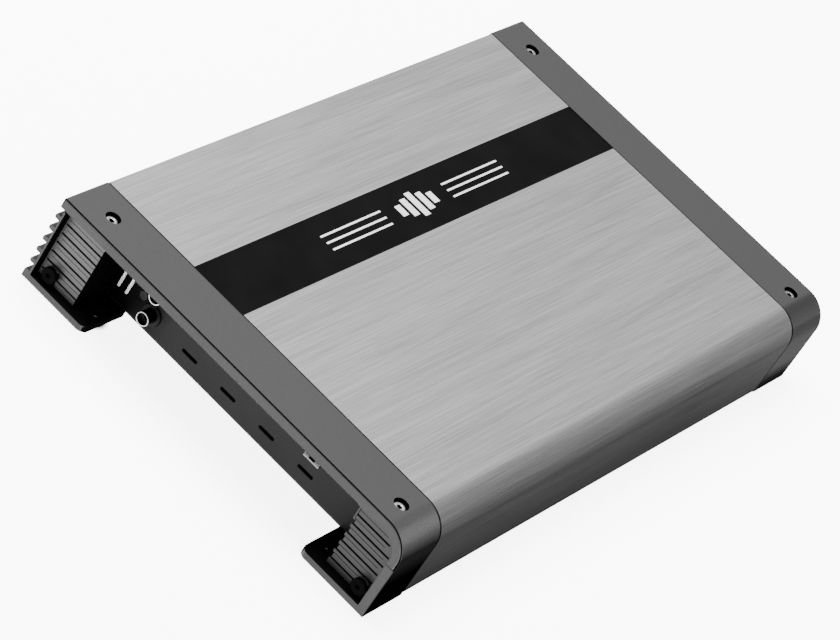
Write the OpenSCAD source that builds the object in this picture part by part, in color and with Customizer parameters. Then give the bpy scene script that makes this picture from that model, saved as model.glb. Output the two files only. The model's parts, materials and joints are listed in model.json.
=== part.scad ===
// Car amplifier: finned heatsink chassis with removable end caps.
// Millimetres. +Z up, -Y is the rounded front side, -X is the input end.
// Every module is drawn from the lower corner of the bounding box and moved by from_corner().

/* [Overall] */
// Length over the two end caps
body_length = 435; // [400:1:450]
// Depth from the rounded front wall to the tips of the rear ribs
body_depth = 257; // [250:1:265]
// Height over the top cover
body_height = 56.2; // [56:0.1:58]

/* [Shell] */
// Outside radius of the rounded front edge
edge_radius = 17; // [12:0.5:22]
// Thickness of the brushed cover sheet
cover_skin = 3; // [2:0.25:4]
// Height of the cover's lower edge above the ground
cover_clearance = 2; // [1:0.25:4]
// Gap between the cover and each end cap
cap_gap = 0.6; // [0.3:0.1:1]
// Distance from the front wall to the black band
band_from_front = 153.8; // [120:0.1:170]
// Width of the black band
band_width = 37.1; // [25:0.1:50]
// Depth of the groove that the band lies in
band_groove = 1; // [0.6:0.1:1.5]

/* [End caps and feet] */
// Length of each end cap along the body
cap_length = 34.8; // [30:0.1:40]
// Thickness of the cap's flat top
cap_plate = 6.5; // [6:0.1:7]
// Thickness of the cap's front wall and of the front foot's wall
cap_wall = 5.4; // [4:0.1:6]
// Height of the seam between cap and front foot
seam_height = 35; // [30:0.1:40]
// Thickness of the foot's floor plate
foot_floor = 4; // [3:0.5:4]
// Depth of the front foot's floor plate
front_foot_depth = 47.5; // [44:0.5:60]
// Depth of the rear foot's floor plate
rear_foot_depth = 46.7; // [42:0.1:60]
// Radius of the four mounting holes in the feet
mount_hole_r = 2.75; // [2:0.05:3.5]
// Distance of the cap screws from the cap's outer face
cap_screw_x = 16.5; // [12:0.5:20]

/* [Heatsink] */
// Distance from the cap's outer face to the end of the fin stacks
fin_end = 6; // [5:0.5:10]
// Thickness of the heatsink's top plate
plate_thick = 5; // [4:0.5:5]
// Vertical pitch of the inner fins
fin_pitch = 6.29; // [6:0.01:6.4]
// Height of the highest gap between inner fins
top_gap_z = 40.2; // [39.5:0.1:41]
// Gap between two pairs of inner fins
fin_gap = 1.2; // [0.8:0.1:1.5]
// Number of ribs on the outside of the back
rib_count = 6; // [4:1:6]
// Vertical pitch of the rear ribs
rib_pitch = 7.96; // [7.5:0.01:8.2]
// Thickness of one rear rib
rib_thick = 3; // [2:0.1:3.5]

/* [Input end] */
// Height of the lower and upper phono sockets
rca_low_z = 14.9; // [14:0.1:16]
// Height difference between the two phono sockets
rca_stack = 15.7; // [14:0.1:17]
// Distance of the phono sockets from the front wall
rca_y = 196.7; // [190:0.1:200]
// Outside radius of a phono socket's shell
rca_shell_r = 4.15; // [4.1:0.05:4.2]
// How far a phono shell stands out of its collar
rca_reach = 7.3; // [7:0.1:9]
// Height of the knobs and slide switches
control_z = 37.5; // [37:0.5:38.5]
// Radius of a control knob
knob_r = 4.5; // [3.5:0.25:5]
// Travel of a slide switch to each side
switch_travel = 2; // [1:0.5:2]

/* [Power end] */
// Spacing of the three power terminals
power_pitch = 18; // [16:0.5:19]
// Radius of a power wire entry
power_entry_r = 4.2; // [3.5:0.1:4.5]
// Spacing of the four speaker terminals
speaker_pitch = 14; // [13:0.5:15]
// Radius of a speaker wire entry
speaker_entry_r = 2.6; // [2:0.1:3]

/* [Hidden] */
$fn = 64;
cover_start = cap_length + cap_gap;
cover_run = body_length - 2 * cover_start;
sink_top = body_height - cap_plate - 0.1;
plate_under = sink_top - plate_thick;
mid_x = body_length / 2;
front_fin_tip = 34.2;
rear_fin_tip = 225.5;
front_web_y = cap_wall + 0.4;
rear_web_y = 252.1;
rear_wall_y = 252.4;
rear_wall_end = 253.6;
rib_tip_y = 256;
sink_low = 4.7;
floor_z = 3.1;
floor_thick = 1.5;
floor_top = floor_z + floor_thick;
panel_x = 34.5;
panel_thick = 1.5;
panel_front_y = 34.6;
panel_rear_y = 225;
panel_top = plate_under - 0.2;
foot_hole_y = [41, 216];
cap_screw_y = [21.6, 235.5];
cap_seat = 5.6;
foot_screw_y = [11.4, 244];
foot_screw_z = 10.7;
foot_head_r = 4.6;
board_z = 8.7;
board_thick = 1.6;
board_top = board_z + board_thick;
control_board_x = panel_x + 19;
knob_y = [158, 138, 118, 98];
switch_y = [176, 60];
jack_y = 79.5;
light_y = [215.4, 221.4];
rca_screw_y = 205.7;
rca_screw_z = 21.3;
rca_collar = 1.2;
rca_root_r = 3.9;
rca_tip_x = panel_x - rca_collar - rca_reach;
terminal_face_x = body_length - 20;
power_first_y = 58;
speaker_first_y = 152;
terminal_z = 19;
fuse_y = [118, 130];
run_fit = 0.05;

module from_corner() translate([-body_length / 2, -body_depth / 2, 0]) children();

// Extrudes a profile drawn in (Y, Z) along +X from x0.
module along_x(x0, run) translate([x0, 0, 0]) rotate([90, 0, 90]) linear_extrude(height = run) children();

// A cylinder along +X.
module rod_x(x0, run, r) translate([x0, 0, 0]) rotate([0, 90, 0]) cylinder(h = run, r = r);

module at_both_ends(dx) for (x = [dx, body_length - dx]) translate([x, 0, 0]) children();

// Outer outline of the shell at the front, filled back to depth y_end.
module shell_outline(inset, low, y_end, high) {
    r = edge_radius - inset;
    translate([inset, low]) square([y_end - inset, body_height - edge_radius - low]);
    translate([edge_radius, low]) square([y_end - edge_radius, high - low]);
    intersection() {
        translate([edge_radius, body_height - edge_radius]) circle(r = r);
        translate([inset, low]) square([edge_radius, high - low]);
    }
}

// ---------- Shell ----------

module top_cover() {
    rib_w = 8;
    lip = 4;
    back_y = rib_tip_y;
    color("silver") from_corner() difference() {
        union() {
            along_x(cover_start, cover_run) difference() {
                shell_outline(0, cover_clearance, back_y, body_height);
                shell_outline(cover_skin, cover_clearance - 1, back_y + 1, body_height - cover_skin);
            }
            for (y = [60, 126, 200])
                translate([cover_start + 6, y - rib_w / 2, sink_top])
                    cube([cover_run - 12, rib_w, cap_plate - cover_skin + 0.2]);
            translate([cover_start, back_y - lip, sink_top + 0.1])
                cube([cover_run, lip, cap_plate - 1]);
        }
        translate([cover_start - 1, band_from_front, body_height - band_groove])
            cube([cover_run + 2, band_width, band_groove + 1]);
        translate([cover_start - 1, back_y, body_height]) rotate([45, 0, 0])
            cube([cover_run + 2, 1.2, 1.2], center = false);
        cover_screw_places() translate([0, 0, sink_top - 1]) cylinder(h = 4.6, r = 1.5 + run_fit);
    }
}

module cover_screw_places()
    for (dx = [-117, 0, 117], y = [60, 200]) translate([mid_x + dx, y, 0]) children();

module nameplate_band() {
    color([0.06, 0.06, 0.07]) from_corner()
        translate([cover_start, band_from_front + 0.1, body_height - band_groove])
            cube([cover_run, band_width - 0.2, band_groove - 0.3]);
}

module emblem() {
    bar_w = 5;
    gap = 2.6;
    heights = [8, 13, 18, 13, 8];
    mid_y = band_from_front + band_width / 2;
    base_z = body_height - 0.3;
    color("gainsboro") from_corner() {
        for (i = [0:4])
            translate([body_length / 2 + (i - 2) * (bar_w + gap) - bar_w / 2, mid_y - heights[i] / 2, base_z])
                cube([bar_w, heights[i], 0.3]);
        for (side = [-1, 1], row = [-1, 0, 1])
            translate([body_length / 2 + side * 58 - 28, mid_y + row * 5 - 0.6, base_z])
                cube([56, 1.2, 0.3]);
    }
}

module cap_at(x0) {
    inner_r = 11;
    back_y = body_depth;
    from_corner() difference() {
        along_x(x0, cap_length) difference() {
            shell_outline(0, seam_height + 0.3, back_y, body_height);
            translate([cap_wall, seam_height - 1])
                square([back_y, body_height - cap_plate - inner_r - seam_height + 1]);
            translate([cap_wall + inner_r, seam_height - 1])
                square([back_y, body_height - cap_plate - seam_height + 1]);
            translate([cap_wall + inner_r, body_height - cap_plate - inner_r]) circle(r = inner_r);
        }
        translate([x0 - 1, back_y, body_height - 0.8]) rotate([45, 0, 0]) cube([cap_length + 2, 2, 2]);
    }
}

module end_cap(x0, screw_x) {
    difference() {
        cap_at(x0);
        from_corner() for (y = cap_screw_y) translate([screw_x, y, 0]) {
            translate([0, 0, body_height - cap_seat]) cylinder(h = cap_seat + 1, r = 4.3);
            translate([0, 0, body_height - cap_plate - 1]) cylinder(h = cap_plate, r = 2.2);
        }
    }
}

module end_cap_input() color([0.45, 0.45, 0.46]) end_cap(0, cap_screw_x);
module end_cap_power() color([0.45, 0.45, 0.46])
    end_cap(body_length - cap_length, body_length - cap_screw_x);

// Floor plate of a foot with one rounded corner, plus the ear behind the fin stack's screw.
module foot_floor_plate(x0, y0, depth, round_x, round_y, hole_x, hole_y, ear_x, ear_y) {
    corner = 5;
    difference() {
        union() {
            translate([x0, y0, 0]) difference() {
                cube([cap_length, depth, foot_floor]);
                translate([round_x * (cap_length - corner), round_y * (depth - corner), -1])
                    cube([corner, corner, foot_floor + 2]);
            }
            translate([x0 + corner + round_x * (cap_length - 2 * corner),
                y0 + corner + round_y * (depth - 2 * corner), 0]) cylinder(h = foot_floor, r = corner);
            translate([ear_x, ear_y - 3.5, foot_floor - 1]) cube([2, 7, foot_screw_z - foot_floor + 1]);
            translate([0, ear_y, foot_screw_z]) rod_x(ear_x, 2, 4.2);
        }
        translate([hole_x, hole_y, -1]) cylinder(h = foot_floor + 2, r = mount_hole_r);
        translate([0, ear_y, foot_screw_z]) rod_x(ear_x - 1, 4, 2.2);
    }
}

module front_foot(x0, round_x, hole_x, ear_x) color([0.45, 0.45, 0.46]) from_corner() {
    foot_floor_plate(x0, 0, front_foot_depth, round_x, 1, hole_x, foot_hole_y[0], ear_x, foot_screw_y[0]);
    translate([x0, 0, foot_floor]) cube([cap_length, cap_wall, seam_height - foot_floor]);
}

module rear_foot(x0, round_x, hole_x, ear_x) color([0.45, 0.45, 0.46]) from_corner() {
    y0 = body_depth - rear_foot_depth;
    foot_floor_plate(x0, y0, rear_foot_depth, round_x, 0, hole_x, foot_hole_y[1], ear_x, foot_screw_y[1]);
    along_x(x0, cap_length) rib_profile(body_depth, foot_floor - 1, sink_top - 0.6);
}

// Thin upright wall with outward ribs that have chamfered tips.
module rib_profile(tip_y, low, high) {
    translate([rear_wall_y, low]) square([rear_wall_end - rear_wall_y, high - low]);
    for (i = [0:rib_count - 1]) {
        top = 5.6 + i * rib_pitch;
        bottom = max(top - rib_thick, low);
        polygon([[rear_wall_end - 0.5, bottom], [tip_y - 0.7, bottom], [tip_y, bottom + 0.7],
            [tip_y, top - 0.7], [tip_y - 0.7, top], [rear_wall_end - 0.5, top]]);
    }
}

module foot_front_input() front_foot(0, 0, cap_screw_x, fin_end - 2.1);
module foot_rear_input() rear_foot(0, 0, cap_screw_x, fin_end - 2.1);
module foot_front_power()
    front_foot(body_length - cap_length, 1, body_length - cap_screw_x, body_length - fin_end + 0.1);
module foot_rear_power()
    rear_foot(body_length - cap_length, 1, body_length - cap_screw_x, body_length - fin_end + 0.1);

// ---------- Heatsink ----------

// One stack of paired inner fins, as cuts from a solid block; toward is the tip side and
// step is how far the thinner fin of each pair stands back.
module fin_cuts(web_y, long_tip, toward, step, first_in) {
    line = 0.3;
    long_fin = 2.1;
    reach = (long_tip - web_y) * toward + 3;
    for (i = [0:5]) {
        z = top_gap_z - i * fin_pitch;
        inset = i == 0 ? first_in : 0;
        y_from = toward > 0 ? web_y + inset : web_y - reach;
        translate([y_from, z - fin_gap / 2]) square([reach, fin_gap]);
        if (i < 5) translate([y_from + toward * 2, z - fin_gap / 2 - long_fin - line]) square([reach, line]);
        if (step > 0 && i < 5) translate([long_tip - step, z + fin_gap / 2 - fin_pitch])
            square([step + 3, fin_pitch - fin_gap - line - long_fin]);
    }
    y_top = toward > 0 ? web_y + 2 * first_in : web_y - reach;
    translate([y_top, top_gap_z + 3.1]) square([reach, line]);
}

module sink_profile() {
    inner_r = 10.6;
    front_arc_y = front_web_y + inner_r;
    rail_low = 36.4;
    rail_y = front_fin_tip + 0.3;
    // top plate
    translate([front_arc_y, plate_under]) square([rear_wall_end - front_arc_y, plate_thick]);
    // front stack with the rounded upper corner
    difference() {
        union() {
            translate([front_arc_y, sink_top - inner_r]) circle(r = inner_r);
            translate([front_web_y, sink_low])
                square([front_fin_tip - front_web_y, sink_top - inner_r - sink_low]);
            translate([front_arc_y, sink_low]) square([front_fin_tip - front_arc_y, sink_top - sink_low]);
        }
        fin_cuts(front_web_y + 1.8, front_fin_tip, 1, 1, 3.3);
    }
    difference() {
        translate([rear_fin_tip, sink_low]) square([rear_web_y - rear_fin_tip, plate_under - sink_low]);
        fin_cuts(rear_web_y - 0.6, rear_fin_tip, -1, 0, 0);
    }
    // hooked rail beside the front fins
    translate([rail_y, rail_low]) square([0.9, plate_under - rail_low]);
    translate([rail_y - 0.9, rail_low]) square([1, 0.8]);
}

module heatsink() {
    port_r = 4.2;
    end_cut = panel_x + panel_thick;
    color([0.5, 0.5, 0.52]) from_corner() difference() {
        union() {
            along_x(fin_end, body_length - 2 * fin_end) sink_profile();
            along_x(cover_start, cover_run) rib_profile(rib_tip_y, floor_z, sink_top);
            along_x(cover_start, cover_run) translate([rear_web_y - 0.5, floor_z])
                square([0.8, sink_top - floor_z]);
            for (y = foot_screw_y) translate([0, y, foot_screw_z])
                rod_x(fin_end, body_length - 2 * fin_end, port_r);
        }
        // end recesses: no top plate beyond the panels
        for (x = [fin_end - 1, body_length - end_cut]) translate([x, front_fin_tip + 2.8, plate_under - 1])
            cube([end_cut - fin_end + 1, rear_fin_tip - front_fin_tip - 3, plate_thick + 2]);
        // the plate stops short of the rear foot walls
        for (x = [fin_end - 1, body_length - cover_start]) translate([x, rear_web_y, floor_z - 1])
            cube([cover_start - fin_end + 1, 10, body_height]);
        for (x = [fin_end - 1, body_length - fin_end - 14], y = foot_screw_y)
            translate([0, y, foot_screw_z]) rod_x(x, 15, 2 + run_fit);
        at_both_ends(cap_screw_x) for (y = cap_screw_y)
            translate([0, y, 41.5]) cylinder(h = 12, r = 2 + run_fit);
        bottom_screw_places() translate([0, 0, sink_low - 1]) cylinder(h = 4.6, r = 1.5 + run_fit);
        cover_screw_places() translate([0, 0, plate_under - 1]) cylinder(h = 8, r = 1.7);
        bar_screw_places() translate([0, 0, plate_under - 1]) {
            cylinder(h = 8, r = 2.2);
            translate([0, 0, 3.4]) cylinder(h = 4, r = 4);
        }
        flange_screw_places() translate([0, 0, plate_under - 1]) cylinder(h = 5, r = 1.5 + run_fit);
    }
}

module bottom_screw_places()
    for (dx = [-147, -47, 47, 147], y = [20, 238]) translate([mid_x + dx, y, 0]) children();
module bar_screw_places()
    for (dx = [-115, 0, 115], y = [42, 216.6]) translate([mid_x + dx, y, 0]) children();
module flange_screw_places()
    at_both_ends(40) for (y = [70, 129, 188]) translate([0, y, 0]) children();

// ---------- Floor and end panels ----------

module bottom_plate() {
    edge = 0.3;
    y0 = cover_skin + edge;
    color([0.2, 0.2, 0.21]) from_corner() difference() {
        translate([cover_start, y0, floor_z]) cube([cover_run, rear_web_y - 0.5 - edge - y0, floor_thick]);
        bottom_screw_places() translate([0, 0, floor_z - 0.01]) {
            cylinder(h = 1.5, r1 = 3.1, r2 = 1.6);
            cylinder(h = floor_thick + 1, r = 1.6);
        }
    }
}

// End panel plate with a folded flange under the heatsink's top plate; inward is +1 or -1.
module end_panel_blank(x0, inward) {
    flange = 11;
    fx = inward > 0 ? x0 : x0 + panel_thick - flange;
    difference() {
        union() {
            translate([x0, panel_front_y, floor_top + 0.1])
                cube([panel_thick, panel_rear_y - panel_front_y, panel_top - floor_top - 0.1]);
            translate([fx, 50, panel_top - panel_thick]) cube([flange, 160, panel_thick]);
        }
        translate([x0 - 1, front_fin_tip - 1, 36]) cube([panel_thick + 2, 3, 12]);
        flange_screw_places() translate([0, 0, panel_top - 3]) cylinder(h = 6, r = 1.6);
    }
}

module input_panel() {
    slot_w = 11.3;
    slot_h = 2.3;
    slot_straight = slot_w - slot_h;
    color([0.22, 0.22, 0.23]) from_corner() difference() {
        end_panel_blank(panel_x, 1);
        for (i = [0:3]) translate([panel_x - 1, 79.2 + i * 29.17, 13]) {
            translate([0, -slot_straight / 2, -slot_h / 2]) cube([panel_thick + 2, slot_straight, slot_h]);
            for (side = [-1, 1]) translate([0, side * slot_straight / 2, 0])
                rod_x(0, panel_thick + 2, slot_h / 2);
        }
        for (i = [0:1]) translate([0, rca_y, rca_low_z + i * rca_stack])
            rod_x(panel_x - 1, panel_thick + 2, 6.4);
        for (y = knob_y) translate([0, y, control_z]) rod_x(panel_x - 1, panel_thick + 2, 3.3);
        for (y = switch_y) translate([panel_x - 1, y - switch_travel - 2.2, control_z - 1.8])
            cube([panel_thick + 2, 2 * switch_travel + 4.4, 3.6]);
        for (y = light_y) translate([panel_x - 1, y - 1, 12.5]) cube([panel_thick + 2, 2, 12.9]);
        translate([panel_x - 1, jack_y - 5.8, 20.7]) cube([panel_thick + 2, 11.6, 12.6]);
        translate([0, rca_screw_y, rca_screw_z]) rod_x(panel_x - 1, panel_thick + 2, 1.6);
    }
}

module power_panel() {
    x0 = body_length - panel_x - panel_thick;
    cut = 0.3;
    color([0.22, 0.22, 0.23]) from_corner() difference() {
        end_panel_blank(x0, -1);
        for (b = terminal_blocks) translate([x0 - 1, b[0] - cut, board_top])
            cube([panel_thick + 2, b[1] + 2 * cut, b[2] + cut + 0.1]);
    }
}

// ---------- Fasteners ----------

module socket_head(r, h, key) difference() {
    cylinder(h = h, r = r);
    translate([0, 0, h - h * 0.6]) cylinder(h = h, r = key, $fn = 6);
}

module cap_screws() {
    seat_z = body_height - cap_seat;
    color("gainsboro") from_corner() at_both_ends(cap_screw_x) for (y = cap_screw_y) translate([0, y, 0]) {
        translate([0, 0, seat_z]) socket_head(3.3, 3.6, 1.6);
        translate([0, 0, 42.8]) cylinder(h = seat_z - 42.8, r = 2);
    }
}

// Screws that hold the feet to the fin stacks.
module foot_screws() {
    head = 2.4;
    color([0.08, 0.08, 0.08]) from_corner() for (y = foot_screw_y) translate([0, y, foot_screw_z]) {
        difference() {
            rod_x(fin_end - 2.1 - head, head, foot_head_r);
            rod_x(fin_end - 3.1 - head, 2.4, 1.5, $fn = 6);
        }
        rod_x(fin_end - 2.1, 15, 2);
        difference() {
            rod_x(body_length - fin_end + 2.1, head, foot_head_r);
            rod_x(body_length - fin_end + 3.1, 2.4, 1.5, $fn = 6);
        }
        rod_x(body_length - fin_end - 12.9, 15, 2);
    }
}

module bottom_screws() color([0.08, 0.08, 0.08]) from_corner() bottom_screw_places() {
    translate([0, 0, floor_z]) cylinder(h = 1.4, r1 = 3, r2 = 1.5);
    translate([0, 0, floor_z + 1.4]) cylinder(h = 3.5, r = 1.5);
}

// Cover screws, flange screws and the phono block's screw, all alike.
module m3_screws() color("silver") from_corner() {
    cover_screw_places() {
        translate([0, 0, plate_under - 2]) cylinder(h = 2, r = 2.75);
        translate([0, 0, plate_under]) cylinder(h = plate_thick + 3, r = 1.5);
    }
    flange_screw_places() {
        translate([0, 0, panel_top - panel_thick - 2]) cylinder(h = 2, r = 2.75);
        translate([0, 0, panel_top - panel_thick]) cylinder(h = 5, r = 1.5);
    }
    translate([0, rca_screw_y, rca_screw_z]) {
        rod_x(panel_x - 1.8, 1.8, 2.6);
        rod_x(panel_x, 8, 1.5);
    }
}

// ---------- Input end ----------

module rca_block() {
    depth = control_board_x - 0.2 - panel_x - panel_thick;
    low = 7;
    color([0.05, 0.05, 0.05]) from_corner() difference() {
        union() {
            translate([panel_x + panel_thick, rca_y - 8, low])
                cube([depth, 21, rca_low_z + rca_stack + 7.6 - low]);
            for (i = [0:1]) translate([0, rca_y, rca_low_z + i * rca_stack])
                rod_x(panel_x - rca_collar, panel_thick + 2, 6.1);
        }
        for (i = [0:1]) translate([0, rca_y, rca_low_z + i * rca_stack])
            rod_x(panel_x - 2, 9, rca_root_r);
        translate([0, rca_screw_y, rca_screw_z]) rod_x(panel_x, 10, 1.5 + run_fit);
    }
}

module rca_tubes(x0, x1, outer, inner) from_corner()
    for (i = [0:1]) translate([0, rca_y, rca_low_z + i * rca_stack]) difference() {
        rod_x(x0, x1 - x0, outer);
        rod_x(x0 - 1, x1 - x0 + 2, inner);
    }

module rca_shells() color("gainsboro") from_corner()
    for (i = [0:1]) translate([0, rca_y, rca_low_z + i * rca_stack]) difference() {
        union() {
            rod_x(rca_tip_x, rca_reach, rca_shell_r);
            rod_x(rca_tip_x + 1, panel_x + 6 - rca_tip_x, rca_root_r);
        }
        rod_x(rca_tip_x - 1, panel_x + 9 - rca_tip_x, 3.35);
    }

module rca_insulators() color([0.1, 0.1, 0.1]) rca_tubes(panel_x - 5.5, panel_x + 7, 3.35, 2);
module rca_contacts() color("gold") rca_tubes(panel_x - 5, panel_x + 7, 2, 1.6);

module remote_jack() {
    wide = 11;
    tall = 12;
    wall = 0.9;
    x0 = panel_x - 1.2;
    low = 21;
    color("silver") from_corner() difference() {
        translate([x0, jack_y - wide / 2, low])
            cube([control_board_x - x0, wide, tall]);
        translate([x0 - 1, jack_y - wide / 2 + wall, low + wall + 1.6])
            cube([15, wide - 2 * wall, tall - 2 * wall - 1.6]);
        translate([x0 - 1, jack_y - 2, low + wall]) cube([15, 4, 3]);
    }
}

module jack_contacts() color("gold") from_corner()
    for (i = [0:5]) translate([panel_x + 2, jack_y - 3.2 + i * 1.15, 30]) cube([10.6, 0.6, 0.5]);

module status_lights() color([0.9, 0.95, 1]) from_corner()
    for (y = light_y) translate([panel_x - 0.7, y - 0.75, 13])
        cube([control_board_x - panel_x + 0.7, 1.5, 12]);

module pot_bodies() color([0.1, 0.25, 0.15]) from_corner() for (y = knob_y) difference() {
    translate([control_board_x - 7, y - 4.8, control_z - 5.5]) cube([7, 9.6, 11]);
    translate([0, y, control_z]) rod_x(control_board_x - 8, 5.5, 3 + run_fit);
}

// A ribbed knob moulded in one piece with its spindle; at is its distance from the front wall.
module control_knob(at) color([0.07, 0.07, 0.08]) from_corner() translate([0, at, control_z]) {
    front_x = panel_x - 7.5;
    run = 7;
    difference() {
        rod_x(front_x, run, knob_r);
        for (a = [0:30:330]) rotate([a, 0, 0]) translate([front_x - 1, 0, knob_r + 0.15])
            rotate([0, 90, 0]) cylinder(h = run - 0.5, r = 0.6);
        translate([front_x - 0.5, -0.4, 0.8]) cube([1.1, 0.8, knob_r]);
    }
    rod_x(front_x + run, control_board_x - 3 - front_x - run, 3);
}

module gain_knob() control_knob(knob_y[0]);
module lowpass_knob() control_knob(knob_y[1]);
module subsonic_knob() control_knob(knob_y[2]);
module bass_knob() control_knob(knob_y[3]);

module switch_bodies() color("silver") from_corner() for (y = switch_y) difference() {
    translate([control_board_x - 8, y - 7, control_z - 3.5]) cube([8, 14, 7]);
    translate([control_board_x - 9, y - switch_travel - 2, control_z - 1.6])
        cube([6, 2 * switch_travel + 4, 3.2]);
}

module switch_lever(at) color([0.07, 0.07, 0.08]) from_corner()
    translate([panel_x - 3, at - 1.5, control_z - 1.25]) cube([control_board_x - 4 - panel_x + 3, 3, 2.5]);

module phase_lever() switch_lever(switch_y[0]);
module filter_lever() switch_lever(switch_y[1]);

module control_board() color([0.05, 0.3, 0.15]) from_corner()
    translate([control_board_x, 48, 6]) cube([board_thick, 175.6, 38]);

// ---------- Main electronics ----------

module main_board() color([0.05, 0.3, 0.15]) from_corner() difference() {
    translate([62, 38, board_z]) cube([body_length - 42 - 62, 184, board_thick]);
    standoff_places() translate([0, 0, board_z - 1]) cylinder(h = 4, r = 1.7);
}

module standoff_places()
    for (x = [70, mid_x, body_length - 64], y = [64, 196]) translate([x, y, 0]) children();

module board_standoffs() color("gold") from_corner() standoff_places() {
    translate([0, 0, floor_top]) cylinder(h = board_z - floor_top, r = 3, $fn = 6);
    translate([0, 0, board_z]) cylinder(h = board_thick, r = 1.6);
    translate([0, 0, board_top]) cylinder(h = 1.8, r = 2.9);
}

// The rear bar's set of parts is the front bar's set turned round.
module at_each_bar() {
    children();
    translate([body_length, 258.6, 0]) rotate([0, 0, 180]) children();
}

bar_y = 38;
bar_depth = 8;
bar_low = 14;
bar_x = mid_x - 127;
bar_run = 254;
device_y = bar_y + bar_depth + 0.3;
device_count = 9;
device_x = mid_x - 104;
device_pitch = 26;

module heat_bars() color("silver") from_corner() at_each_bar() difference() {
    translate([bar_x, bar_y, bar_low]) cube([bar_run, bar_depth, plate_under - bar_low]);
    for (dx = [-115, 0, 115]) translate([mid_x + dx, bar_y + 4, 36]) cylinder(h = 12, r = 2 + run_fit);
    for (i = [0:device_count - 2]) translate([device_x + (i + 0.5) * device_pitch, bar_y - 1, 27])
        rotate([-90, 0, 0]) cylinder(h = 12, r = 1.5 + run_fit);
}

module device_screws() color("silver") from_corner() at_each_bar() {
    for (dx = [-115, 0, 115]) translate([mid_x + dx, bar_y + 4, 0]) {
        translate([0, 0, 36.5]) cylinder(h = sink_top - 2.6 - 36.5, r = 2);
        translate([0, 0, sink_top - 2.6]) socket_head(3.5, 2.4, 1.5);
    }
    for (i = [0:device_count - 2])
        translate([device_x + (i + 0.5) * device_pitch, bar_y + 1, 27]) rotate([-90, 0, 0]) {
            cylinder(h = 13.9, r = 1.5);
            translate([0, 0, 13.9]) cylinder(h = 2, r = 2.75);
        }
}

module insulator_pads() color("lightgray") from_corner() at_each_bar()
    translate([device_x - 8, bar_y + bar_depth, 20]) difference() {
        cube([device_pitch * (device_count - 1) + 16, 0.3, 19]);
        for (i = [0:device_count - 2]) translate([8 + (i + 0.5) * device_pitch, -1, 7])
            rotate([-90, 0, 0]) cylinder(h = 3, r = 1.7);
    }

module transistors() color([0.1, 0.1, 0.1]) from_corner() at_each_bar()
    for (i = [0:device_count - 1]) translate([device_x + i * device_pitch, device_y, 22]) {
        translate([-5.1, 0, 0]) cube([10.2, 4.5, 9]);
        translate([-5.1, 0, 9]) cube([10.2, 1.3, 6.4]);
        for (lead = [-2.54, 0, 2.54]) translate([lead - 0.4, 2.4, board_top - 22])
            cube([0.8, 0.5, 22 - board_top]);
    }

module clamp_bars() color("gray") from_corner() at_each_bar() difference() {
    translate([device_x - 8, device_y + 4.6, 24]) cube([device_pitch * (device_count - 1) + 16, 2, 6]);
    for (i = [0:device_count - 2]) translate([device_x + (i + 0.5) * device_pitch, device_y, 27])
        rotate([-90, 0, 0]) cylinder(h = 12, r = 1.7);
}

toroid_at = [245, 128];
toroid_in = 17;
toroid_out = 31;

module toroid_core() color([0.15, 0.35, 0.2]) from_corner() translate([toroid_at[0], toroid_at[1], 13])
    difference() {
        cylinder(h = 18, r = toroid_out);
        translate([0, 0, -1]) cylinder(h = 20, r = toroid_in);
    }

module toroid_winding() {
    turns = 22;
    wire = 1.8;
    color("chocolate") from_corner() translate([toroid_at[0], toroid_at[1], 12.9 - wire])
        for (i = [0:turns - 1]) rotate([0, 0, i * 360 / turns]) difference() {
            translate([toroid_in - 0.4 - wire, -1.6, 0])
                cube([toroid_out - toroid_in + 0.6 + 2 * wire, 3.2, 18.2 + 2 * wire]);
            translate([toroid_in - 0.4, -3, wire]) cube([toroid_out - toroid_in + 0.6, 6, 18.2]);
        }
}

inductor_at = [[120, 100], [120, 152]];

module inductor_cores() color([0.25, 0.25, 0.27]) from_corner()
    for (p = inductor_at) translate([p[0], p[1], board_top + 0.3]) {
        cylinder(h = 3, r = 17);
        translate([0, 0, 3]) cylinder(h = 17, r = 9);
        translate([0, 0, 20]) cylinder(h = 3, r = 17);
    }

module inductor_windings() color("chocolate") from_corner()
    for (p = inductor_at, row = [0:4]) translate([p[0], p[1], board_top + 3.5 + row * 3.4]) difference() {
        cylinder(h = 3.1, r = 15.5);
        translate([0, 0, -1]) cylinder(h = 6, r = 9.1);
    }

capacitor_at = [
    [178, 84], [178, 110], [178, 148], [178, 174],
    [312, 84], [312, 110], [312, 148], [312, 174],
    [346, 97], [346, 129], [346, 161]
];

module capacitors() color([0.1, 0.12, 0.3]) from_corner()
    for (p = capacitor_at)
        translate([p[0], p[1], board_top]) {
            cylinder(h = 28, r = 11);
            translate([0, 0, 28]) cylinder(h = 1, r1 = 11, r2 = 10);
        }

module control_ics() color([0.08, 0.08, 0.08]) from_corner() {
    for (y = [86, 106, 150, 170]) translate([76, y, board_top]) cube([10, 7, 3]);
    for (y = [70, 130, 190]) translate([control_board_x + board_thick, y, 20]) cube([3, 18, 7]);
    translate([control_board_x + board_thick, 100, 12]) cube([9, 40, 5]);
}

// ---------- Power end ----------

block_low = board_top;
block_high = 32;
terminal_blocks = [
    [power_first_y - 11, 2 * power_pitch + 22, block_high - block_low],
    [fuse_y[0] - 7, 26, block_high - block_low + 1.5],
    [speaker_first_y - 9, 3 * speaker_pitch + 18, block_high - block_low]
];
clamp_run = 14;
clamp_x = terminal_face_x - 3 - clamp_run;

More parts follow.
